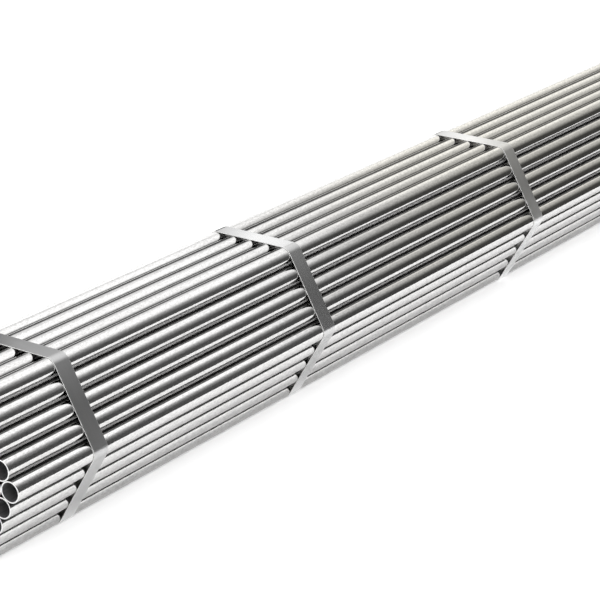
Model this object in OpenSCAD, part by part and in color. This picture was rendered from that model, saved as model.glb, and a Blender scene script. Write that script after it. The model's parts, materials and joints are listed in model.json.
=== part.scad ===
// Hexagonal bundle of round steel tubes, bound with flat steel straps.
// The tubes run along Y. The origin is on the floor, under the middle of the bundle.

/* [Tubes] */
// Outside diameter of a tube
tube_d = 33.7; // [25:0.1:60]
// Wall thickness of a tube
tube_wall = 2; // [1:0.1:4]
// Length of a tube
tube_length = 6000; // [4000:100:12000]
// Gap between neighbouring tubes
tube_gap = 0.2; // [0.1:0.05:1]

/* [Bundle] */
// Number of tubes along each side of the hexagon
side_tubes = 5; // [4:1:7]

/* [Straps] */
// Width of the strap
strap_w = 32; // [12:1:50]
// Thickness of the strap
strap_t = 1; // [0.5:0.1:2]
// Clearance between the strap and the tubes it binds
strap_clear = 0.15; // [0.1:0.05:0.5]
// From the tubes' ends to the middle of the first strap
first_strap = 180; // [60:5:400]
// From the first strap to the second, middle to middle
second_strap = 595; // [200:5:800]
// From the second strap to the third, middle to middle
third_strap = 707; // [200:5:800]
// Length of the lap, where the two ends of a strap are welded over each other
lap_length = 70; // [40:5:100]

/* [Hidden] */
$fn = 96;

// Tubes: rows lie on each other in the gaps, so each is sin(60) of a pitch above the last.
row_count = 2 * side_tubes - 1;
middle_row = side_tubes;
pitch = tube_d + tube_gap;
row_rise = pitch * sin(60);
bore_d = tube_d - 2 * tube_wall;

// Straps: each is bent round the six corner tubes and runs straight between them.
bend_inner = tube_d / 2 + strap_clear;
bend_outer = bend_inner + strap_t;
// Flats in each half of a bend
bend_steps = 4;
side_straight = (side_tubes - 1) * pitch;
apothem = side_straight * cos(30);
// Height of the middle row, with the straps' undersides on the floor
middle_height = bend_outer + (side_tubes - 1) * row_rise;

// Three straps are set out from each end, one is in the middle, and one halfway between.
third_place = first_strap + second_strap + third_strap;
fourth_place = (third_place + tube_length / 2) / 2;
end_places = [first_strap, first_strap + second_strap, third_place, fourth_place];
strap_places = [
    for (place = end_places) place - tube_length / 2,
    0,
    for (i = [len(end_places) - 1 : -1 : 0]) tube_length / 2 - end_places[i]
];
strap_count = len(strap_places);
// The straps' ends meet on the upper left side, which faces this way.
lap_turn = 150;
// How far the two layers of the lap are merged, so that the weld makes them one piece
weld_depth = strap_t / 2;

// A round tube along Y, centred on the origin.
module tube() {
    rotate([90, 0, 0])
        difference() {
            cylinder(d = tube_d, h = tube_length, center = true);
            cylinder(d = bore_d, h = tube_length + 2, center = true);
        }
}

// One level of tubes, counted from the floor. The middle level is the widest.
module tube_row(row) {
    level = row - middle_row;
    count = row_count - abs(level);
    color("gainsboro")
        for (i = [0 : count - 1])
            translate([(i - (count - 1) / 2) * pitch, 0, middle_height + level * row_rise])
                tube();
}

// A unit vector that faces the angle `turn`.
function facing(turn) = [cos(turn), sin(turn)];

// The outline at a distance r from the hexagon through the six corner tubes' centres.
function round_hexagon(r) = [
    for (corner = [0 : 5])
        for (step = [-bend_steps : bend_steps])
            side_straight * facing(60 * corner) + r * facing(60 * corner + 30 * step / bend_steps)
];

// One strap: a closed band of six straight sides and six bends, with its welded lap.
module strap(place) {
    color("silver")
        translate([0, place, middle_height])
            rotate([90, 0, 0]) {
                linear_extrude(strap_w, center = true)
                    difference() {
                        polygon(round_hexagon(bend_outer));
                        polygon(round_hexagon(bend_inner));
                    }
                rotate(lap_turn)
                    translate([apothem + bend_outer - weld_depth, -lap_length / 2, -strap_w / 2])
                        cube([strap_t + weld_depth, lap_length, strap_w]);
            }
}

for (row = [1 : row_count])
    tube_row(row);
for (i = [1 : strap_count])
    strap(strap_places[i - 1]);
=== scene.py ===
"""A hexagonal bundle of bright round steel tubes, bound with flat steel straps.

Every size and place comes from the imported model, in metres, in its own frame:
the tubes run along Y, Z is up, and the straps' undersides rest on the floor at Z = 0.
"""

import json
import logging
import math
from dataclasses import dataclass, field, replace
from enum import Enum

import bpy
import numpy as np
from mathutils import Matrix, Vector


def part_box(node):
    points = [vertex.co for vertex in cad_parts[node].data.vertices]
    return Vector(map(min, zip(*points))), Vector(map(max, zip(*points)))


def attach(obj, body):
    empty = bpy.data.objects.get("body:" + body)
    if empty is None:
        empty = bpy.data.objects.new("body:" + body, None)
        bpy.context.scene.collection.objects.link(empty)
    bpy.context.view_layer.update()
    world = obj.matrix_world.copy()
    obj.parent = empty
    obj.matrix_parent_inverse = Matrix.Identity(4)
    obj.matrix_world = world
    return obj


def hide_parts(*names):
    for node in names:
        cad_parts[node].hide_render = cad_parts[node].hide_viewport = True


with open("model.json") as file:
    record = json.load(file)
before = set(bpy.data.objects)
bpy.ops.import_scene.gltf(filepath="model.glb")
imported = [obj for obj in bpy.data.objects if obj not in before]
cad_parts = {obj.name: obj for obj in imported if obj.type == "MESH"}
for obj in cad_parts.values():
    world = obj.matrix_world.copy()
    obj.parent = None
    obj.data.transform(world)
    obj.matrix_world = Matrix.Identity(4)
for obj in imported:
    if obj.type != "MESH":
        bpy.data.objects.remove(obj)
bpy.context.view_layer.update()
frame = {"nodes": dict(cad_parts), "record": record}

BODY = "root"
MM = 0.001
WHITE = (1.0, 1.0, 1.0, 1.0)
# Degrees between two corners of the hexagon, and from a corner to the middle of a side
SIXTH = 60
TWELFTH = 30
log = logging.getLogger("steel_tube_bundle")

# Two or three numbers that belong together, such as two limits, a place or a colour
Pair = tuple[float, float]
Triple = tuple[float, float, float]


class Slot(Enum):
    """The record's material slots."""

    TUBE = "tube_steel"
    STRAP = "strap_steel"


class TubeSurface(Enum):
    """The surfaces of a tube, in the order of its material slots."""

    OUTSIDE = 0
    BORE = 1
    CUT_END = 2
    # The valleys beside the contact lines, which get a near-black painted shade
    VALLEY = 3


class StrapSurface(Enum):
    """The surfaces of a strap, in the order of its material slots."""

    FACE = 0
    SLIT_EDGE = 1


def facing(angle: float) -> np.ndarray:
    """Return the unit vector in the bundle's cross-section that faces an angle, in radians."""
    return np.array([math.cos(angle), math.sin(angle)])


def ramp_between(low: float, high: float, value: float) -> float:
    """Rise smoothly from 0 at one value to 1 at another.

    Args:
        low: Where the rise starts.
        high: Where the rise ends.
        value: Where it is wanted.

    Returns:
        A share from 0 to 1.
    """
    share = min(max((value - low) / (high - low), 0.0), 1.0)
    return share * share * (3.0 - 2.0 * share)


# ---------------------------------------------------------------- sizes from the frame


@dataclass(frozen=True)
class BundleSizes:
    """The bundle's real sizes in metres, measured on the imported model."""

    length: float
    tube_radius: float
    bore_radius: float
    pitch: float
    centre_height: float
    side: float
    strap_inner: float
    strap_outer: float
    strap_width: float

    @classmethod
    def measured(cls) -> "BundleSizes":
        """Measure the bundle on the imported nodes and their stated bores.

        Returns:
            The sizes that every piece is built from.
        """
        bores = {m["name"]: m for m in frame["record"]["mounts"] if m["kind"] == "bore"}
        left, middle = (Vector(bores[f"bore_bottom_{end}"]["pos_m"]) for end in ("left", "middle"))
        pitch = (middle.x - left.x) / 2
        row = frame["nodes"]["tube_row_1"].data.vertices
        tube_radius = max(math.hypot(v.co.x - left.x, v.co.z - left.z)
                          for v in row if v.co.x < left.x + pitch / 2)
        bore_radius = bores["bore_bottom_left"]["dims"]["r_mm"] * MM
        low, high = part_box("strap_1")
        half_width, half_height = (high.x - low.x) / 2, (high.z - low.z) / 2
        side = (half_width - half_height) / (1 - math.cos(math.radians(TWELFTH)))
        strap_outer = half_width - side
        strap_inner = min(
            math.hypot(v.co.x - side, v.co.z - half_height)
            for v in frame["nodes"]["strap_1"].data.vertices if v.co.x > side
        )
        tubes_low, tubes_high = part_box("tube_row_1")
        return cls(
            length=tubes_high.y - tubes_low.y,
            tube_radius=tube_radius,
            bore_radius=bore_radius,
            pitch=pitch,
            centre_height=half_height,
            side=side,
            strap_inner=strap_inner,
            strap_outer=strap_outer,
            strap_width=high.y - low.y,
        )

    @property
    def apothem(self) -> float:
        """The distance from the bundle's middle to the tubes' centres on a flat side."""
        return self.side * math.cos(math.radians(TWELFTH))


# ---------------------------------------------------------------- node helpers


class Nodes:
    """A material's or world's node tree, filled one node at a time."""

    def __init__(self, tree: bpy.types.NodeTree) -> None:
        """Start from an empty tree.

        Args:
            tree: The node tree to fill.
        """
        self.tree = tree
        tree.nodes.clear()

    def add(self, kind: str, inputs: dict[str | int, object] | None = None,
            **settings: object) -> bpy.types.Node:
        """Add one node, and set its options and unlinked inputs.

        Args:
            kind: The node's type name, without the ShaderNode in front.
            inputs: Values or output sockets for its inputs, by name or number.
            **settings: The node's own options.

        Returns:
            The new node.
        """
        node = self.tree.nodes.new("ShaderNode" + kind)
        for name, value in settings.items():
            setattr(node, name, value)
        for name, value in (inputs or {}).items():
            if isinstance(value, bpy.types.NodeSocket):
                self.tree.links.new(value, node.inputs[name])
            else:
                node.inputs[name].default_value = value
        return node

    def maths(self, operation: str, first: bpy.types.NodeSocket,
              second: bpy.types.NodeSocket | float) -> bpy.types.NodeSocket:
        """Add a sum, a product or the like of two values, by Blender's name for it."""
        return self.add("Math", {0: first, 1: second}, operation=operation).outputs[0]

    def mark(self, name: str) -> bpy.types.NodeSocket:
        """Read a share from 0 to 1 that the mesh carries at each point."""
        return self.add("Attribute", attribute_name=name).outputs["Fac"]

    def stretched_noise(self, place: bpy.types.NodeSocket, scale: Triple,
                        detail: float, roughness: float = 0.5) -> bpy.types.NodeSocket:
        """Add a noise that is drawn out along one direction.

        Args:
            place: The coordinates that the noise is laid on.
            scale: How many times finer it is along each of them.
            detail: The noise's detail.
            roughness: The share that each finer octave adds.

        Returns:
            The noise's value socket.
        """
        mapping = self.add("Mapping", {"Vector": place, "Scale": scale})
        noise = self.add("TexNoise", {"Vector": mapping.outputs[0], "Scale": 1.0,
                                      "Detail": detail, "Roughness": roughness})
        return noise.outputs["Fac"]

    def ramp(self, factor: bpy.types.NodeSocket, dark: Triple, light: Triple,
             stops: Pair = (0.3, 0.7)) -> bpy.types.NodeSocket:
        """Add a colour ramp between two tones.

        Args:
            factor: What drives it.
            dark: The tone up to the first stop.
            light: The tone from the second stop on.
            stops: The two stops, from 0 to 1.

        Returns:
            The ramp's colour socket.
        """
        node = self.add("ValToRGB", {"Fac": factor})
        for element, place, tone in zip(node.color_ramp.elements, stops, (dark, light)):
            element.position, element.color = place, (*tone, 1.0)
        return node.outputs["Color"]

    def scaled(self, colour: bpy.types.NodeSocket, share: bpy.types.NodeSocket) -> bpy.types.NodeSocket:
        """Darken or lighten a colour by a share."""
        return self.add("VectorMath", {0: colour, "Scale": share}, operation="SCALE").outputs[0]

    def span(self, factor: bpy.types.NodeSocket, low: float, high: float) -> bpy.types.NodeSocket:
        """Add a node that turns a factor from 0 to 1 into a value between two others."""
        return self.add("MapRange", {"Value": factor, "To Min": low, "To Max": high}).outputs["Result"]


def new_material(name: str) -> tuple[bpy.types.Material, Nodes]:
    """Make an empty material.

    Args:
        name: The material's name.

    Returns:
        The material, and its node tree to fill.
    """
    material = bpy.data.materials.new(name)
    material.use_nodes = True
    return material, Nodes(material.node_tree)


# ---------------------------------------------------------------- finishes


@dataclass(frozen=True)
class DrawnSteel:
    """Bright polished steel with fine lines drawn along the tube."""

    name: str = "polished_tube_steel"
    bright: Triple = (0.75, 0.745, 0.74)
    dull: Triple = (0.66, 0.655, 0.65)
    roughness: Pair = (0.05, 0.10)
    streak_scale: Triple = (140.0, 0.9, 140.0)
    grain_scale: Triple = (400.0, 140.0, 400.0)
    grain_depth: float = 0.12 * MM
    grain_strength: Pair = (0.5, 0.1)
    grain_limits: Pair = (0.35, 0.65)
    speckle: Pair = (0.83, 1.15)
    # How much of the colour is left where the valleys' painted shade is full
    fully_shaded: float = 0.06
    bloomed: float = 0.4
    bloom_blur: float = 0.3

    def colour(self, nodes: Nodes, streaks: bpy.types.NodeSocket,
               grain: bpy.types.NodeSocket) -> bpy.types.NodeSocket:
        """Mix the steel's colour from its streaks, its grain, the tube's own tone and the painted shade
        in its valleys.

        Args:
            nodes: The material's node tree.
            streaks: The long faint streaks.
            grain: The fine grain.

        Returns:
            The colour's socket.
        """
        mixed = nodes.maths("ADD", streaks, nodes.mark("tube_tone"))
        clean = nodes.ramp(nodes.maths("MULTIPLY", mixed, 0.5), self.dull, self.bright)
        # Painted shade: darkens the colour beside the contact lines, in the valleys that open upward
        left = nodes.span(nodes.mark("valley_shade"), 1.0, self.fully_shaded)
        speckle = nodes.add("MapRange", {
            "Value": grain, "From Min": self.grain_limits[0], "From Max": self.grain_limits[1],
            "To Min": self.speckle[0], "To Max": self.speckle[1],
        }).outputs["Result"]
        return nodes.scaled(clean, nodes.maths("MULTIPLY", left, speckle))

    def material(self) -> bpy.types.Material:
        """Build the material.

        Returns:
            The finish of a tube's outside.
        """
        material, nodes = new_material(self.name)
        place = nodes.add("TexCoord").outputs["Object"]
        streaks = nodes.stretched_noise(place, self.streak_scale, 3.0)
        grain = nodes.stretched_noise(place, self.grain_scale, 3.0, 0.8)
        bloom = nodes.mark("underside_bloom")
        bump = nodes.add("Bump", {
            "Height": grain, "Strength": nodes.span(bloom, *self.grain_strength),
            "Distance": self.grain_depth,
        })
        gloss, blur = nodes.span(streaks, *self.roughness), nodes.span(bloom, 0.0, self.bloom_blur)
        steel = nodes.add("BsdfPrincipled", {
            "Base Color": self.colour(nodes, streaks, grain),
            "Metallic": nodes.span(bloom, 1.0, self.bloomed),
            "Roughness": nodes.maths("ADD", gloss, blur),
            "Normal": bump.outputs[0],
        })
        nodes.add("OutputMaterial", {"Surface": steel.outputs[0]})
        return material


@dataclass(frozen=True)
class MarkedFinish:
    """A plain surface with drawn-out marks in its colour, its relief and its gloss."""

    name: str
    dark: Triple
    light: Triple
    scale: Triple
    relief: float
    depth: float
    roughness: Pair
    metallic: float = 0.0
    specular: float = 0.5
    detail: float = 3.0
    stops: Pair = (0.3, 0.7)
    run_map: str = ""

    def material(self) -> bpy.types.Material:
        """Build the material.

        Returns:
            The finish, laid on the piece's own axes, or on its run where it has a map of that.
        """
        material, nodes = new_material(self.name)
        if self.run_map:
            place = nodes.add("UVMap", uv_map=self.run_map).outputs[0]
        else:
            place = nodes.add("TexCoord").outputs["Object"]
        marks = nodes.stretched_noise(place, self.scale, self.detail)
        bump = nodes.add("Bump", {"Height": marks, "Strength": self.relief, "Distance": self.depth})
        surface = nodes.add("BsdfPrincipled", {
            "Base Color": nodes.ramp(marks, self.dark, self.light, self.stops),
            "Metallic": self.metallic,
            "Roughness": nodes.span(marks, *self.roughness),
            "Specular IOR Level": self.specular,
            "Normal": bump.outputs[0],
        })
        nodes.add("OutputMaterial", {"Surface": surface.outputs[0]})
        return material


class Plain(Enum):
    """The finishes of a tube's bore and cut ends, the near-black painted shade in its valleys, and the
    finish of a strap's slit edges.
    """

    BORE = MarkedFinish(
        name="tube_bore_steel", dark=(0.17, 0.17, 0.18), light=(0.29, 0.285, 0.29),
        scale=(220.0, 3.0, 220.0), detail=4.0, relief=0.3, depth=0.03 * MM,
        roughness=(0.42, 0.6), metallic=0.7,
    )
    CUT_END = MarkedFinish(
        name="tube_cut_end_steel", dark=(0.78, 0.78, 0.78), light=(0.88, 0.88, 0.88),
        scale=(900.0, 200.0, 120.0), relief=0.25, depth=0.02 * MM,
        roughness=(0.3, 0.42), metallic=0.9,
    )
    # Painted shade: a near-black finish laid on the valleys beside the contact lines
    VALLEY = MarkedFinish(
        name="painted_valley_shade", dark=(0.006, 0.006, 0.006), light=(0.022, 0.021, 0.02),
        scale=(400.0, 60.0, 400.0), relief=0.4, depth=0.05 * MM,
        roughness=(0.8, 0.95), specular=0.1,
    )
    SLIT_EDGE = MarkedFinish(
        name="strap_slit_edge_steel", dark=(0.7, 0.7, 0.69), light=(0.95, 0.95, 0.94),
        scale=(120.0, 400.0, 1.0), relief=0.3, depth=0.02 * MM,
        roughness=(0.4, 0.55), metallic=0.3, stops=(0.35, 0.6), run_map="strap_run",
    )


@dataclass(frozen=True)
class RolledStrapSteel:
    """Cold-rolled strap: satin grey, with faint rolling lines along its run."""

    name: str
    tone: float
    roughness: float
    metallic: float = 0.94
    contrast: Pair = (0.93, 1.04)
    line_scale: Triple = (2.0, 900.0, 1.0)
    cloud_scale: Triple = (14.0, 40.0, 1.0)
    line_depth: float = 0.012 * MM
    gloss_change: float = 0.03
    corner_shaded: float = 0.66
    # How much of the colour is left where the painted shade next to the top corners is full
    burnt: float = 0.4

    def material(self) -> bpy.types.Material:
        """Build the material.

        Returns:
            The finish of a strap.
        """
        material, nodes = new_material(self.name)
        run = nodes.add("UVMap", uv_map="strap_run").outputs[0]
        lines = nodes.stretched_noise(run, self.line_scale, 3.0)
        clouds = nodes.stretched_noise(run, self.cloud_scale, 3.0)
        share = nodes.maths("MULTIPLY", nodes.maths("ADD", lines, clouds), 0.5)
        dark, light = ((self.tone * change,) * 3 for change in self.contrast)
        fresh = nodes.ramp(share, dark, light)
        # Painted shade darkening the faces next to the top corners, times the welds' heat tint
        left = nodes.maths("MULTIPLY", nodes.span(nodes.mark("corner_shade"), 1.0, self.corner_shaded),
                           nodes.span(nodes.mark("weld_heat"), 1.0, self.burnt))
        bump = nodes.add("Bump", {"Height": lines, "Strength": 0.4, "Distance": self.line_depth})
        low, high = self.roughness - self.gloss_change, self.roughness + self.gloss_change
        steel = nodes.add("BsdfPrincipled", {
            "Base Color": nodes.scaled(fresh, left), "Metallic": self.metallic,
            "Roughness": nodes.span(clouds, low, high), "Normal": bump.outputs[0],
        })
        nodes.add("OutputMaterial", {"Surface": steel.outputs[0]})
        return material


class Coil(Enum):
    """The coils that the straps were cut from, each with its own finish."""

    DULL = RolledStrapSteel("dull_strap_steel", tone=0.58, roughness=0.3)
    BRIGHT = RolledStrapSteel("bright_strap_steel", tone=0.64, roughness=0.24)
    MATT = RolledStrapSteel("matt_strap_steel", tone=0.86, roughness=0.4)


# ---------------------------------------------------------------- meshes


def mesh_object(name: str, points: np.ndarray, faces: list[tuple[int, ...]],
                materials: list[bpy.types.Material], sharp: float = 40.0) -> bpy.types.Object:
    """Make a smooth-shaded object whose real corners stay sharp.

    Args:
        name: The piece's name.
        points: Its vertices, one row each.
        faces: The vertex numbers round each face.
        materials: Its material slots.
        sharp: The turn in degrees from which an edge counts as a corner.

    Returns:
        The new object, in the scene.
    """
    mesh = bpy.data.meshes.new(name)
    mesh.from_pydata(points.tolist(), [], faces)
    mesh.validate()
    mesh.polygons.foreach_set("use_smooth", [True] * len(mesh.polygons))
    mesh.set_sharp_from_angle(angle=math.radians(sharp))
    for material in materials:
        mesh.materials.append(material)
    piece = bpy.data.objects.new(name, mesh)
    bpy.context.scene.collection.objects.link(piece)
    return piece


def quarter_round(radius: float, steps: int) -> list[Pair]:
    """Round off a square corner.

    Args:
        radius: The rounding's radius.
        steps: The number of flats in it.

    Returns:
        How far each of its points lies in from the corner's first side and from its second,
        beginning on the second.
    """
    turns = [math.radians(90) * step / steps for step in range(steps + 1)]
    return [(radius * (1 - math.sin(turn)), radius * (1 - math.cos(turn))) for turn in turns]


def set_mark(piece: bpy.types.Object, name: str, shares: np.ndarray) -> None:
    """Store a share from 0 to 1 at each point of a piece, for its material to read."""
    layer = piece.data.attributes.new(name, "FLOAT", "POINT")
    layer.data.foreach_set("value", shares.astype(np.float32))


@dataclass
class Tubes:
    """The bundle's tubes, one piece for each level, and one for the top left corner tube.

    The painted shade on the flanks and on the crown, and the bloom, each have the angle from a contact
    line at which it starts to fade and the angle at which it is gone, in degrees. The limits of
    the crown and the tilt are sines of the angle at which a side faces up or down. From the solid
    share of painted shade on, a side gets the near-black painted shade finish. Tubes closer than the
    contact reach, in pitches, touch.
    """

    sizes: BundleSizes
    sides: int = 96
    edge_radius: float = 0.25 * MM
    edge_steps: int = 3
    support: float = 1.5 * MM
    outside: bpy.types.Material = field(default_factory=lambda: DrawnSteel().material())
    bore: bpy.types.Material = field(default_factory=lambda: Plain.BORE.value.material())
    cut_end: bpy.types.Material = field(default_factory=lambda: Plain.CUT_END.value.material())
    valley: bpy.types.Material = field(default_factory=lambda: Plain.VALLEY.value.material())
    # Painted shade beside the contact lines, on the sides that face up
    flank_shade: Pair = (27.0, 41.0)
    crown_shade: Pair = (33.0, 46.0)
    crown: Pair = (0.6, 0.95)
    bloom: Pair = (30.0, 48.0)
    tilt: Pair = (0.0, 0.3)
    solid_shade: float = 0.9
    contact_reach: float = 1.1
    tone_range: Pair = (0.2, 0.8)
    first_seed: int = 100

    @property
    def levels(self) -> int:
        """The number of levels of tubes."""
        return sum(name.startswith("tube_row_") for name in frame["nodes"])

    def end_outline(self) -> list[tuple[float, float, TubeSurface]]:
        """Outline one end of a tube's wall, from its bore round to its outside.

        Returns:
            The distance in from the end, the radius, and the surface that follows, for each ring.
        """
        size, depth = self.sizes, self.edge_radius + self.support
        edge = quarter_round(self.edge_radius, self.edge_steps)
        inner = [(inset, size.bore_radius + step, TubeSurface.CUT_END) for inset, step in edge]
        outer = [(inset, size.tube_radius - step, TubeSurface.CUT_END) for inset, step in reversed(edge)]
        outer[-1] = (*outer[-1][:2], TubeSurface.OUTSIDE)
        return [(depth, size.bore_radius, TubeSurface.BORE), *inner, *outer,
                (depth, size.tube_radius, TubeSurface.OUTSIDE)]

    def rings(self) -> list[tuple[float, float, TubeSurface]]:
        """Outline a whole tube as a closed loop of rings.

        Returns:
            The place along Y, the radius, and the surface that follows, for each ring.
        """
        half, outline = self.sizes.length / 2, self.end_outline()
        near = [(depth - half, radius, surface) for depth, radius, surface in outline]
        inward = outline[::-1]
        follows = [surface for _, _, surface in inward[1:]] + [TubeSurface.BORE]
        far = [(half - depth, radius, surface) for (depth, radius, _), surface in zip(inward, follows)]
        return near + far

    def films(self, centre: Pair, others: list[Pair]) -> dict[str, np.ndarray]:
        """Find the painted shade and the bloom round a tube beside the lines where it touches its
        neighbours.

        Args:
            centre: X and Z of the tube's centre.
            others: The same for every tube of the bundle.

        Returns:
            A share from 0 to 1 for each side of the tube: of the painted shade in the
            valleys that open upward, and of the dull bloom on the flanks that face down.
        """
        reach = self.sizes.pitch * self.contact_reach
        steps = [(x - centre[0], z - centre[1]) for x, z in others]
        contacts = [math.degrees(math.atan2(z, x)) for x, z in steps if 0 < math.hypot(x, z) < reach]
        shade, bloom = np.zeros(self.sides), np.zeros(self.sides)
        for side in range(self.sides):
            turn = 360 * side / self.sides
            near = min(abs((turn - contact + 180) % 360 - 180) for contact in contacts)
            upward = math.sin(math.radians(turn))
            level = ramp_between(*self.crown, upward)
            thins, gone = (flank + (crown - flank) * level
                           for flank, crown in zip(self.flank_shade, self.crown_shade))
            # Painted shade beside the contacts, wider towards the crown
            shade[side] = ramp_between(*self.tilt, upward) * (1 - ramp_between(thins, gone, near))
            bloom[side] = ramp_between(*self.tilt, -upward) * (1 - ramp_between(*self.bloom, near))
        return {"valley_shade": shade, "underside_bloom": bloom}

    def centres(self, row: int) -> list[Pair]:
        """Find the tubes' centres in one level.

        Args:
            row: The level, counted from the floor.

        Returns:
            X and Z of each tube's centre, from left to right.
        """
        size = self.sizes
        low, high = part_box(f"tube_row_{row}")
        count = round((high.x - low.x - 2 * size.tube_radius) / size.pitch) + 1
        height = (low.z + high.z) / 2
        return [((index - (count - 1) / 2) * size.pitch, height) for index in range(count)]

    def build_piece(self, name: str, row: int, centres: list[Pair],
                    tones: np.ndarray) -> bpy.types.Object:
        """Build tubes of one level as one piece.

        Args:
            name: The piece's name.
            row: The level, counted from the floor.
            centres: X and Z of each tube's centre.
            tones: How bright each tube's steel is, from 0 to 1.

        Returns:
            The piece, which stands for the level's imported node.
        """
        rings = self.rings()
        turns = np.arange(self.sides) * (2 * math.pi / self.sides)
        around = np.stack([np.cos(turns), np.sin(turns)], axis=1)
        points, faces, surfaces = [], [], []
        marks = {"tube_tone": [], "valley_shade": [], "underside_bloom": []}
        everyone = [centre for level in range(1, self.levels + 1) for centre in self.centres(level)]
        for (x, z), tone in zip(centres, tones):
            start = sum(len(block) for block in points)
            block = np.array([
                (x + radius * across, along, z + radius * up)
                for along, radius, _ in rings for across, up in around
            ])
            points.append(block)
            marks["tube_tone"].append(np.full(len(block), tone))
            films = self.films((x, z), everyone)
            for film, shares in films.items():
                marks[film].append(np.tile(shares, len(rings)))
            shade = films["valley_shade"]
            for index, (_, _, surface) in enumerate(rings):
                this, following = index * self.sides, (index + 1) % len(rings) * self.sides
                for side in range(self.sides):
                    beside = (side + 1) % self.sides
                    faces.append((start + this + side, start + following + side,
                                  start + following + beside, start + this + beside))
                    # Where the painted shade is full, the side gets the near-black painted shade finish
                    deep = surface is TubeSurface.OUTSIDE and min(shade[side], shade[beside]) > self.solid_shade
                    surfaces.append((TubeSurface.VALLEY if deep else surface).value)
        piece = mesh_object(name, np.concatenate(points), faces,
                            [self.outside, self.bore, self.cut_end, self.valley])
        piece.data.polygons.foreach_set("material_index", surfaces)
        for mark, shares in marks.items():
            set_mark(piece, mark, np.concatenate(shares))
        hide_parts(f"tube_row_{row}")
        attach(piece, BODY)
        return piece

    def build_row(self, row: int) -> list[bpy.types.Object]:
        """Build one level. The top level's left corner tube is a piece of its own.

        Args:
            row: The level, counted from the floor.

        Returns:
            The level's pieces, from right to left.
        """
        centres = self.centres(row)
        draws = np.random.default_rng(self.first_seed + row)
        tones = draws.uniform(*self.tone_range, len(centres))
        if row < self.levels:
            return [self.build_piece(f"tubes_{row}", row, centres, tones)]
        return [self.build_piece(f"tubes_{row}", row, centres[1:], tones[1:]),
                self.build_piece(f"tubes_{row}_corner", row, centres[:1], tones[:1])]

    def build(self) -> list[bpy.types.Object]:
        """Build every level from the floor up, with the top left corner tube last."""
        return [piece for row in range(1, self.levels + 1) for piece in self.build_row(row)]


@dataclass(frozen=True)
class Station:
    """A place along a strip, where its cross-section is set down.

    The base is the point that offsets are measured from and out is the outward direction, both in
    the bundle's cross-section. The lift is the strip's height over its inner end.
    """

    base: np.ndarray
    out: np.ndarray
    lift: float
    run: float


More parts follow.
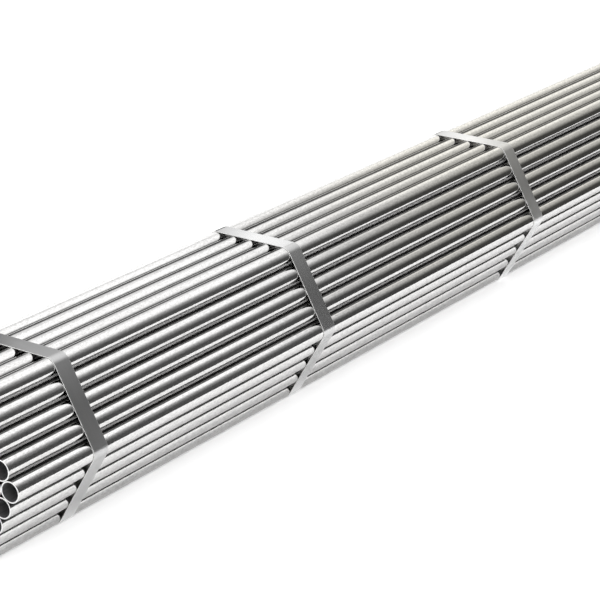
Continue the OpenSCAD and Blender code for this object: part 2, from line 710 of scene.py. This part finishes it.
@dataclass
class Straps:
    """The flat straps, each drawn round the hexagon with its ends lapped and spot-welded.

    The limits of a weld's dip and heat are shares of its radius.
    """

    sizes: BundleSizes
    lap: float = 70 * MM
    lap_turn: float = 150.0
    seam: float = 0.03 * MM
    step_run: float = 8 * MM
    edge_radius: float = 0.22 * MM
    edge_steps: int = 2
    support: float = 0.4 * MM
    bend_steps: int = 14
    column: float = 1.0 * MM
    weld_spread: Pair = (13 * MM, 8 * MM)
    weld_radius: float = 3.6 * MM
    weld_depth: float = 0.32 * MM
    weld_rim: Pair = (0.35, 1.0)
    heat_rise: Pair = (0.45, 0.9)
    heat_fall: Pair = (1.0, 1.7)
    # Where the painted shade next to the top corners centres, in degrees, and how far it reaches
    corner_shade_turns: Pair = (44.0, 136.0)
    corner_shade_reach: Pair = (20 * MM, 75 * MM)
    order: tuple[Coil, ...] = (Coil.DULL, Coil.BRIGHT, Coil.MATT)
    finishes: dict[Coil, bpy.types.Material] = field(
        default_factory=lambda: {coil: coil.value.material() for coil in Coil})
    slit_edge: bpy.types.Material = field(default_factory=lambda: Plain.SLIT_EDGE.value.material())

    @property
    def thickness(self) -> float:
        """The strip's own thickness, a seam thinner than the room that it has."""
        return self.sizes.strap_outer - self.sizes.strap_inner - self.seam

    def straight(self, angle: float, start: float, stop: float, step: float,
                 run: float) -> list[Station]:
        """Walk along a straight length of the strip.

        Args:
            angle: The direction that this side of the hexagon faces, in degrees.
            start: Where the length starts, measured from the side's middle.
            stop: Where it ends.
            step: The longest step.
            run: The distance run along the strip before it.

        Returns:
            Its stations.
        """
        out, along = facing(math.radians(angle)), facing(math.radians(angle) + math.radians(90))
        count = max(1, math.ceil((stop - start) / step))
        places = [start + (stop - start) * index / count for index in range(count + 1)]
        return [Station(self.sizes.apothem * out + place * along, out, 0.0, run + place - start)
                for place in places]

    def bend(self, angle: float, run: float) -> list[Station]:
        """Walk round one bend of the strip, without the ends of the straight lengths beside it.

        Args:
            angle: The direction of the corner, in degrees.
            run: The distance run along the strip before it.

        Returns:
            Its stations.
        """
        corner, turn = self.sizes.side * facing(math.radians(angle)), math.radians(SIXTH)
        shares = [index / self.bend_steps for index in range(1, self.bend_steps)]
        return [Station(corner, facing(math.radians(angle) + turn * (share - 0.5)), 0.0,
                        run + self.sizes.strap_outer * turn * share)
                for share in shares]

    def stations(self) -> list[Station]:
        """Walk along the strip from its inner end, once round the hexagon, to its outer end.

        Returns:
            Its stations, the last stretch lifted over the inner end.
        """
        half, lap_half = self.sizes.side / 2, self.lap / 2
        bend_run = self.sizes.strap_outer * math.radians(SIXTH)
        walk = self.straight(self.lap_turn, -lap_half, half, half, 0.0)
        run = half + lap_half
        for side in range(1, 6):
            walk += self.bend(self.lap_turn + SIXTH * side - TWELFTH, run)
            run += bend_run
            walk += self.straight(self.lap_turn + SIXTH * side, -half, half, half, run)
            run += 2 * half
        walk += self.bend(self.lap_turn - TWELFTH, run)
        run += bend_run
        for station in self.straight(self.lap_turn, -half, lap_half, self.weld_radius / 4, run):
            place = station.run - run - half
            rise = ramp_between(-lap_half - self.step_run, -lap_half, place)
            walk.append(replace(station, lift=(self.thickness + self.seam) * rise))
        return walk

    def section(self) -> list[Pair]:
        """Outline the strip's cross-section, a thin rectangle with eased edges.

        Returns:
            The place across the width and the height in the thickness, round the section.
        """
        half = self.sizes.strap_width / 2
        inner = half - self.edge_radius - self.support
        count = round(2 * inner / self.column)
        columns = [-inner + 2 * inner * index / count for index in range(count + 1)]
        edge = quarter_round(self.edge_radius, self.edge_steps)
        outline = []
        for side, start, stop in ((1, self.thickness, 0.0), (-1, 0.0, self.thickness)):
            outline += [(side * place, start) for place in columns]
            outline += [(side * (half - inset), start - side * drop) for inset, drop in edge]
            outline += [(side * (half - inset), stop + side * drop) for inset, drop in reversed(edge)]
        return outline

    def weld(self, along: float, across: float) -> Pair:
        """Give the mark of the spot welds at a place on the lap.

        Args:
            along: The distance from the lap's middle.
            across: The distance from the strap's middle.

        Returns:
            How far the outer face is pressed in, and how much heat has coloured it, from 0 to 1.
        """
        away = math.hypot(abs(along) - self.weld_spread[0], abs(across) - self.weld_spread[1])
        share = away / self.weld_radius
        heat = ramp_between(*self.heat_rise, share) * (1 - ramp_between(*self.heat_fall, share))
        return self.weld_depth * (1 - ramp_between(*self.weld_rim, share)), heat

    def build_strap(self, number: int) -> bpy.types.Object:
        """Build one strap as one piece.

        Args:
            number: The strap's number, counted from the near end.

        Returns:
            The piece, which stands for the strap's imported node.
        """
        size = self.sizes
        low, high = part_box(f"strap_{number}")
        middle = (low.y + high.y) / 2
        walk, section = self.stations(), self.section()
        lap_middle = walk[-1].run - self.lap / 2
        corners = [size.side * facing(math.radians(turn)) for turn in self.corner_shade_turns]
        points, runs, corner_shades, heats = [], [], [], []
        for station in walk:
            for across, height in section:
                offset = size.strap_inner + station.lift + height
                dip, heat = self.weld(station.run - lap_middle, across)
                if height > self.thickness / 2:
                    offset -= dip
                spot = station.base + station.out * offset
                # Painted shade, strongest next to the top corners
                nearest = min(math.dist(spot, corner) for corner in corners)
                points.append((spot[0], middle + across, size.centre_height + spot[1]))
                runs.append((station.run, across))
                corner_shades.append(1 - ramp_between(*self.corner_shade_reach, nearest))
                heats.append(heat)
        around, faces, surfaces = len(section), [], []
        edge_from = size.strap_width / 2 - self.edge_radius / 2
        for index in range(len(walk) - 1):
            this, following = index * around, (index + 1) * around
            for side in range(around):
                beside = (side + 1) % around
                faces.append((this + side, this + beside, following + beside, following + side))
                on_edge = max(abs(section[side][0]), abs(section[beside][0])) > edge_from
                surfaces.append((StrapSurface.SLIT_EDGE if on_edge else StrapSurface.FACE).value)
        final = (len(walk) - 1) * around
        faces.append(tuple(reversed(range(around))))
        faces.append(tuple(final + side for side in range(around)))
        finish = self.finishes[self.order[(number - 1) % len(self.order)]]
        piece = mesh_object(f"strap_band_{number}", np.array(points), faces, [finish, self.slit_edge])
        piece.data.polygons.foreach_set("material_index", surfaces + [StrapSurface.SLIT_EDGE.value] * 2)
        layer = piece.data.uv_layers.new(name="strap_run")
        for loop in piece.data.loops:
            layer.data[loop.index].uv = runs[loop.vertex_index]
        set_mark(piece, "corner_shade", np.array(corner_shades))
        set_mark(piece, "weld_heat", np.array(heats))
        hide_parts(f"strap_{number}")
        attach(piece, BODY)
        return piece

    def build(self) -> list[bpy.types.Object]:
        """Build every strap, from the near end to the far end."""
        straps = [name for name in frame["nodes"] if name.startswith("strap_")]
        return [self.build_strap(number) for number in range(1, len(straps) + 1)]


# ---------------------------------------------------------------- studio


@dataclass
class Room:
    """A plain pale floor, and soft light from all round."""

    half: float = 60.0
    dark: Triple = (0.89, 0.89, 0.89)
    pale: Triple = (0.92, 0.92, 0.92)
    lift: float = 0.3
    sky: float = 1.62

    def floor(self) -> bpy.types.Object:
        """Lay the floor.

        Returns:
            The floor.
        """
        half = self.half
        points = np.array([(-half, -half, 0), (half, -half, 0), (half, half, 0), (-half, half, 0)], float)
        material, nodes = new_material("pale_floor")
        place = nodes.add("TexCoord").outputs["Object"]
        clouds = nodes.stretched_noise(place, (0.8, 0.8, 0.8), 2.0)
        colour = nodes.ramp(clouds, self.dark, self.pale, (0.0, 1.0))
        paint = nodes.add("BsdfDiffuse", {"Color": colour, "Roughness": 0.5})
        seen = nodes.span(nodes.add("LightPath").outputs["Is Camera Ray"], 0.0, self.lift)
        lift = nodes.add("Emission", {"Color": colour, "Strength": seen})
        both = nodes.add("AddShader", {0: paint.outputs[0], 1: lift.outputs[0]})
        nodes.add("OutputMaterial", {"Surface": both.outputs[0]})
        floor = mesh_object("studio_floor", points, [(0, 1, 2, 3)], [material])
        return floor

    def daylight(self) -> None:
        """Fill the room with even white light."""
        world = bpy.data.worlds.new("studio_room")
        bpy.context.scene.world = world
        world.use_nodes = True
        nodes = Nodes(world.node_tree)
        light = nodes.add("Background", {"Color": WHITE, "Strength": self.sky})
        nodes.add("OutputWorld", {"Surface": light.outputs[0]})

    def build(self) -> list[bpy.types.Object]:
        """Light the room, and lay its floor."""
        self.daylight()
        return [self.floor()]


@dataclass
class GlowingSheets:
    """What the glowing sheets have in common. The reach is how far they may run past the bundle."""

    sizes: BundleSizes
    reach: float = 6.0
    floor_gap: float = 2 * MM

    @property
    def ends(self) -> Pair:
        """Where the long sheets start and end along Y."""
        return -self.sizes.length / 2 - self.reach, self.sizes.length / 2 + self.reach

    def arch(self, radius: float, angles: np.ndarray, place: float) -> list[Triple]:
        """Return points round the bundle's axis, at angles in degrees, for a place along Y."""
        spots = [facing(math.radians(angle)) * radius for angle in angles]
        return [(across, place, up + self.sizes.centre_height) for across, up in spots]

    def glowing(self, name: str, rings: list[list[Triple]], lights: list[list[Triple]],
                seen_by: list[bpy.types.Object] | None = None) -> bpy.types.Object:
        """Make a glowing sheet that only reflections see.

        Args:
            name: The sheet's name.
            rings: Its points, in rows.
            lights: The colour and brightness at each of them.
            seen_by: The only pieces that reflect it, where it isn't for all of them. What is behind
                the sheet then shows through it.

        Returns:
            The sheet.
        """
        wide, faces = len(rings[0]), []
        for row in range(len(rings) - 1):
            for column in range(wide - 1):
                corner = row * wide + column
                faces.append((corner, corner + 1, corner + wide + 1, corner + wide))
        material, nodes = new_material(f"{name}_glow")
        light = nodes.add("Attribute", attribute_name="glow").outputs["Color"]
        surface = nodes.add("Emission", {"Color": light, "Strength": 1.0}).outputs[0]
        if seen_by:
            behind = nodes.add("BsdfTransparent", {"Color": WHITE}).outputs[0]
            surface = nodes.add("AddShader", {0: surface, 1: behind}).outputs[0]
        nodes.add("OutputMaterial", {"Surface": surface})
        material.cycles.emission_sampling = "NONE"
        sheet = mesh_object(name, np.array(rings).reshape(-1, 3), faces, [material])
        glow = sheet.data.attributes.new("glow", "FLOAT_COLOR", "POINT")
        colours = np.ones((len(rings) * wide, 4), np.float32)
        colours[:, :3] = np.array(lights).reshape(-1, 3)
        glow.data.foreach_set("color", colours.ravel())
        if seen_by:
            lit = bpy.data.collections.new(f"{name}_lights")
            for piece in seen_by:
                lit.objects.link(piece)
            sheet.light_linking.receiver_collection = lit
        sheet.visible_camera = False
        sheet.visible_diffuse = False
        sheet.visible_shadow = False
        sheet.visible_transmission = False
        return sheet


@dataclass(frozen=True)
class Change:
    """A smooth change of brightness over an arc of the tent, from one angle to another in degrees."""

    amount: float
    start: float
    end: float

    def at(self, angle: float) -> float:
        """Return how much of the change has come about at an angle."""
        return self.amount * ramp_between(self.start, self.end, angle)


@dataclass(frozen=True)
class TentGlow:
    """How bright the tent is.

    Angles run round the bundle's axis, from the right-hand horizon over the top. Distances run
    along the bundle from its near end. The tent has one pattern over the near end and another
    further along.
    """

    horizon: float = 0.065
    climb: Change = Change(0.58, 18, 66)
    near_base: float = 0.03
    near_crown: Change = Change(0.75, 43, 69)
    near_dips: tuple[Change, ...] = (Change(0.3, 92, 115), Change(0.5, 118, 136))
    near_fall: Change = Change(0.8, 124, 139)
    far_crown: Change = Change(0.62, 64, 106)
    far_shoulder: Change = Change(0.15, 110, 130)
    far_fall: Change = Change(0.9, 112, 128)
    far_fall_from: Pair = (0.95, 1.25)
    changeover: Pair = (1.0, 1.5)
    warming: Pair = (1.1, 2.0)
    warmth: Triple = (0.0, 0.02, 0.09)

    def level(self, angle: float, along: float) -> float:
        """Give the brightness at a place on the tent.

        Args:
            angle: Degrees round the bundle's axis.
            along: Distance along the bundle.

        Returns:
            The brightness, where 1 is a white wall in full light.
        """
        rise = self.horizon + self.climb.at(angle)
        broad = rise + self.far_crown.at(angle) + self.far_shoulder.at(angle)
        close = rise + self.near_base + self.near_crown.at(angle)
        for dip in self.near_dips:
            close *= 1 - dip.at(angle)
        further = ramp_between(*self.changeover, along)
        level = close + (broad - close) * further
        level *= 1 - self.far_fall.at(angle) * ramp_between(*self.far_fall_from, along)
        level *= 1 - self.near_fall.at(angle) * (1 - further)
        return level

    def tint(self, along: float) -> Triple:
        """Give the tent's colour: neutral over the near end, and warmer further on."""
        warm = ramp_between(*self.warming, along)
        return tuple(1.0 - loss * warm for loss in self.warmth)


@dataclass
class Tent(GlowingSheets):
    """A gradient tent over the bundle, with a dark skirt on each side.

    Its hem nears the bundle by its slope, in metres for each metre along.
    """

    glow: TentGlow = TentGlow()
    radius: float = 0.5
    steps: tuple[int, int] = (120, 240)
    hem_height: float = 0.1
    hem_start: float = 0.5
    hem_slope: float = 0.12
    hem_least: float = 0.27
    skirt_out: float = 1.0
    skirt_glow: float = 0.07

    def hem_out(self, along: float) -> float:
        """Return how far out the tent's lower edge hangs, a distance along from the near end."""
        return min(max(self.hem_start - self.hem_slope * along, self.hem_least), self.radius)

    def tent(self) -> bpy.types.Object:
        """Raise the tent, an arch over the bundle.

        Returns:
            The tent.
        """
        turns, lengths = self.steps
        angles = [180 * turn / turns for turn in range(turns + 1)]
        rings, lights = [], []
        for place in np.linspace(*self.ends, lengths + 1):
            along = place + self.sizes.length / 2
            ring = self.arch(self.radius, angles, place)
            out = self.hem_out(along)
            ring[0], ring[-1] = (out, place, self.hem_height), (-out, place, self.hem_height)
            rings.append(ring)
            tint = self.glow.tint(along)
            lights.append([[self.glow.level(angle, along) * share for share in tint] for angle in angles])
        return self.glowing("light_tent", rings, lights)

    def skirts(self) -> list[bpy.types.Object]:
        """Hang a dark skirt on each side, where the tent's lower edge leaves a gap to the floor.

        Returns:
            The skirts.
        """
        dark = [[(self.skirt_glow,) * 3] * 2] * 2
        skirts = []
        for name, side in (("right_skirt", 1), ("left_skirt", -1)):
            out = side * self.skirt_out
            rings = [[(out, place, height) for height in (self.floor_gap, self.radius)]
                     for place in self.ends]
            skirts.append(self.glowing(name, rings, dark))
        return skirts

    def build(self) -> list[bpy.types.Object]:
        """Build the tent and its skirts."""
        return [self.tent(), *self.skirts()]


@dataclass(frozen=True)
class CardPlace:
    """A card over one strap: its distance from the near end, and its glow on the right and the left."""

    along: float
    right: float
    left: float


@dataclass
class Cards(GlowingSheets):
    """The glowing cards just inside the tent, each lit up for some of the pieces alone.

    Angles run in degrees from the right-hand horizon over the top. The edge is the arc over which a
    card over a strap fades in and out, and the foot card fades over a share of the hexagon's side.
    """

    places: tuple[CardPlace, ...] = (
        CardPlace(0.68, right=0.0, left=0.36),
        CardPlace(1.28, right=1.85, left=1.0),
        CardPlace(1.98, right=1.85, left=0.85),
    )
    half: float = 0.2
    angles: Pair = (118.0, 152.0)
    edge: float = 6.0
    radius: float = 0.49
    steps: int = 24
    rim_angles: Pair = (114.0, 130.0)
    rim_light: float = 1.25
    rim_gap: float = 1 * MM
    rim_steps: int = 60
    foot_light: float = 0.42
    foot_fade: float = 0.14

    def over_straps(self, straps: list[bpy.types.Object]) -> list[bpy.types.Object]:
        """Hang a small glowing card over the bundle for each of the near straps.

        Args:
            straps: The straps, which alone reflect the cards.

        Returns:
            The cards.
        """
        start, (low, high) = -self.sizes.length / 2, self.angles
        half, edge = self.half, self.edge
        angles = np.linspace(low, high, self.steps + 1)
        fades = [ramp_between(low, low + edge, angle) * (1 - ramp_between(high - edge, high, angle))
                 for angle in angles]
        hung = []
        for number, card in enumerate(self.places, 1):
            spread = np.linspace(card.right, card.left, len(angles))
            rings, lights = [], []
            for along in np.linspace(card.along - half, card.along + half, self.steps + 1):
                beside = 1 - ramp_between(half / 2, half, abs(along - card.along))
                rings.append(self.arch(self.radius, angles, start + along))
                lights.append([[light * beside * fade] * 3 for light, fade in zip(spread, fades)])
            hung.append(self.glowing(f"light_card_{number}", rings, lights, straps))
        return hung

    def at_rim(self, corner_tube: bpy.types.Object) -> bpy.types.Object:
        """Hang a long white card on the left, down to the floor, for the top left corner tube.

        Args:
            corner_tube: The tube, which alone reflects the card.

        Returns:
            The card.
        """
        start, full = self.rim_angles
        angles = np.linspace(start, 180.0, self.rim_steps)
        fades = [self.rim_light * ramp_between(start, full, angle) for angle in angles]
        rings = [[*self.arch(self.radius, angles, place), (-self.radius, place, self.rim_gap)]
                 for place in self.ends]
        lights = [[[light] * 3 for light in (*fades, self.rim_light)]] * 2
        return self.glowing("rim_card", rings, lights, [corner_tube])

    def at_foot(self, straps: list[bpy.types.Object]) -> bpy.types.Object:
        """Lay a long card on the floor at the bundle's foot, for the straps' lower right sides.

        Args:
            straps: The straps, which alone reflect the card.

        Returns:
            The card.
        """
        size = self.sizes
        foot = size.side / 2 + size.strap_outer * math.cos(math.radians(TWELFTH))
        faded = foot + self.foot_fade * size.side
        rings = [[(across, place, self.floor_gap) for across in (0.0, foot, faded)]
                 for place in self.ends]
        lights = [[[light] * 3 for light in (self.foot_light, self.foot_light, 0.0)]] * 2
        return self.glowing("floor_card", rings, lights, straps)

    def build(self, tubes: list[bpy.types.Object],
              straps: list[bpy.types.Object]) -> list[bpy.types.Object]:
        """Hang and lay all the cards. The top left corner tube is the last of the tubes."""
        return [*self.over_straps(straps), self.at_rim(tubes[-1]), self.at_foot(straps)]


@dataclass
class Viewpoint:
    """The camera: near the bundle's right-hand side, looking down along it with a long lens."""

    sizes: BundleSizes
    place_in_pitches: Triple = (63.0, -63.92, 41.12)
    turn: float = 34.77
    tilt: float = 20.68
    roll: float = 0.25
    lens_mm: float = 137.43
    sensor_mm: float = 36.0
    clip_end: float = 200.0

    def build(self) -> bpy.types.Object:
        """Place the camera and make it the scene's own.

        Returns:
            The camera.
        """
        size = self.sizes
        camera = bpy.data.objects.new("camera", bpy.data.cameras.new("camera"))
        bpy.context.scene.collection.objects.link(camera)
        camera.data.sensor_width = self.sensor_mm
        camera.data.lens = self.lens_mm
        camera.data.clip_end = self.clip_end
        across, along, up = (step * size.pitch for step in self.place_in_pitches)
        spot = Vector((across, along - size.length / 2, up + size.centre_height))
        turned = (Matrix.Rotation(math.radians(self.turn), 4, "Z")
                  @ Matrix.Rotation(math.radians(90 - self.tilt), 4, "X")
                  @ Matrix.Rotation(math.radians(self.roll), 4, "Z"))
        camera.matrix_world = Matrix.Translation(spot) @ turned
        bpy.context.scene.camera = camera
        return camera


def main() -> None:
    """Build the tubes, the straps and the studio, and report each piece."""
    logging.basicConfig(level=logging.INFO, format="%(name)s: %(message)s")
    bpy.context.scene.view_settings.view_transform = "Standard"
    sizes = BundleSizes.measured()
    log.info("sizes %s", sizes)
    Viewpoint(sizes).build()
    tubes = Tubes(sizes).build()
    straps = Straps(sizes).build()
    staging = [*Cards(sizes).build(tubes, straps), *Room().build(), *Tent(sizes).build()]
    for piece in (*tubes, *straps, *staging):
        log.info("%s: %d faces", piece.name, len(piece.data.polygons))


if __name__ == "__main__":
    main()
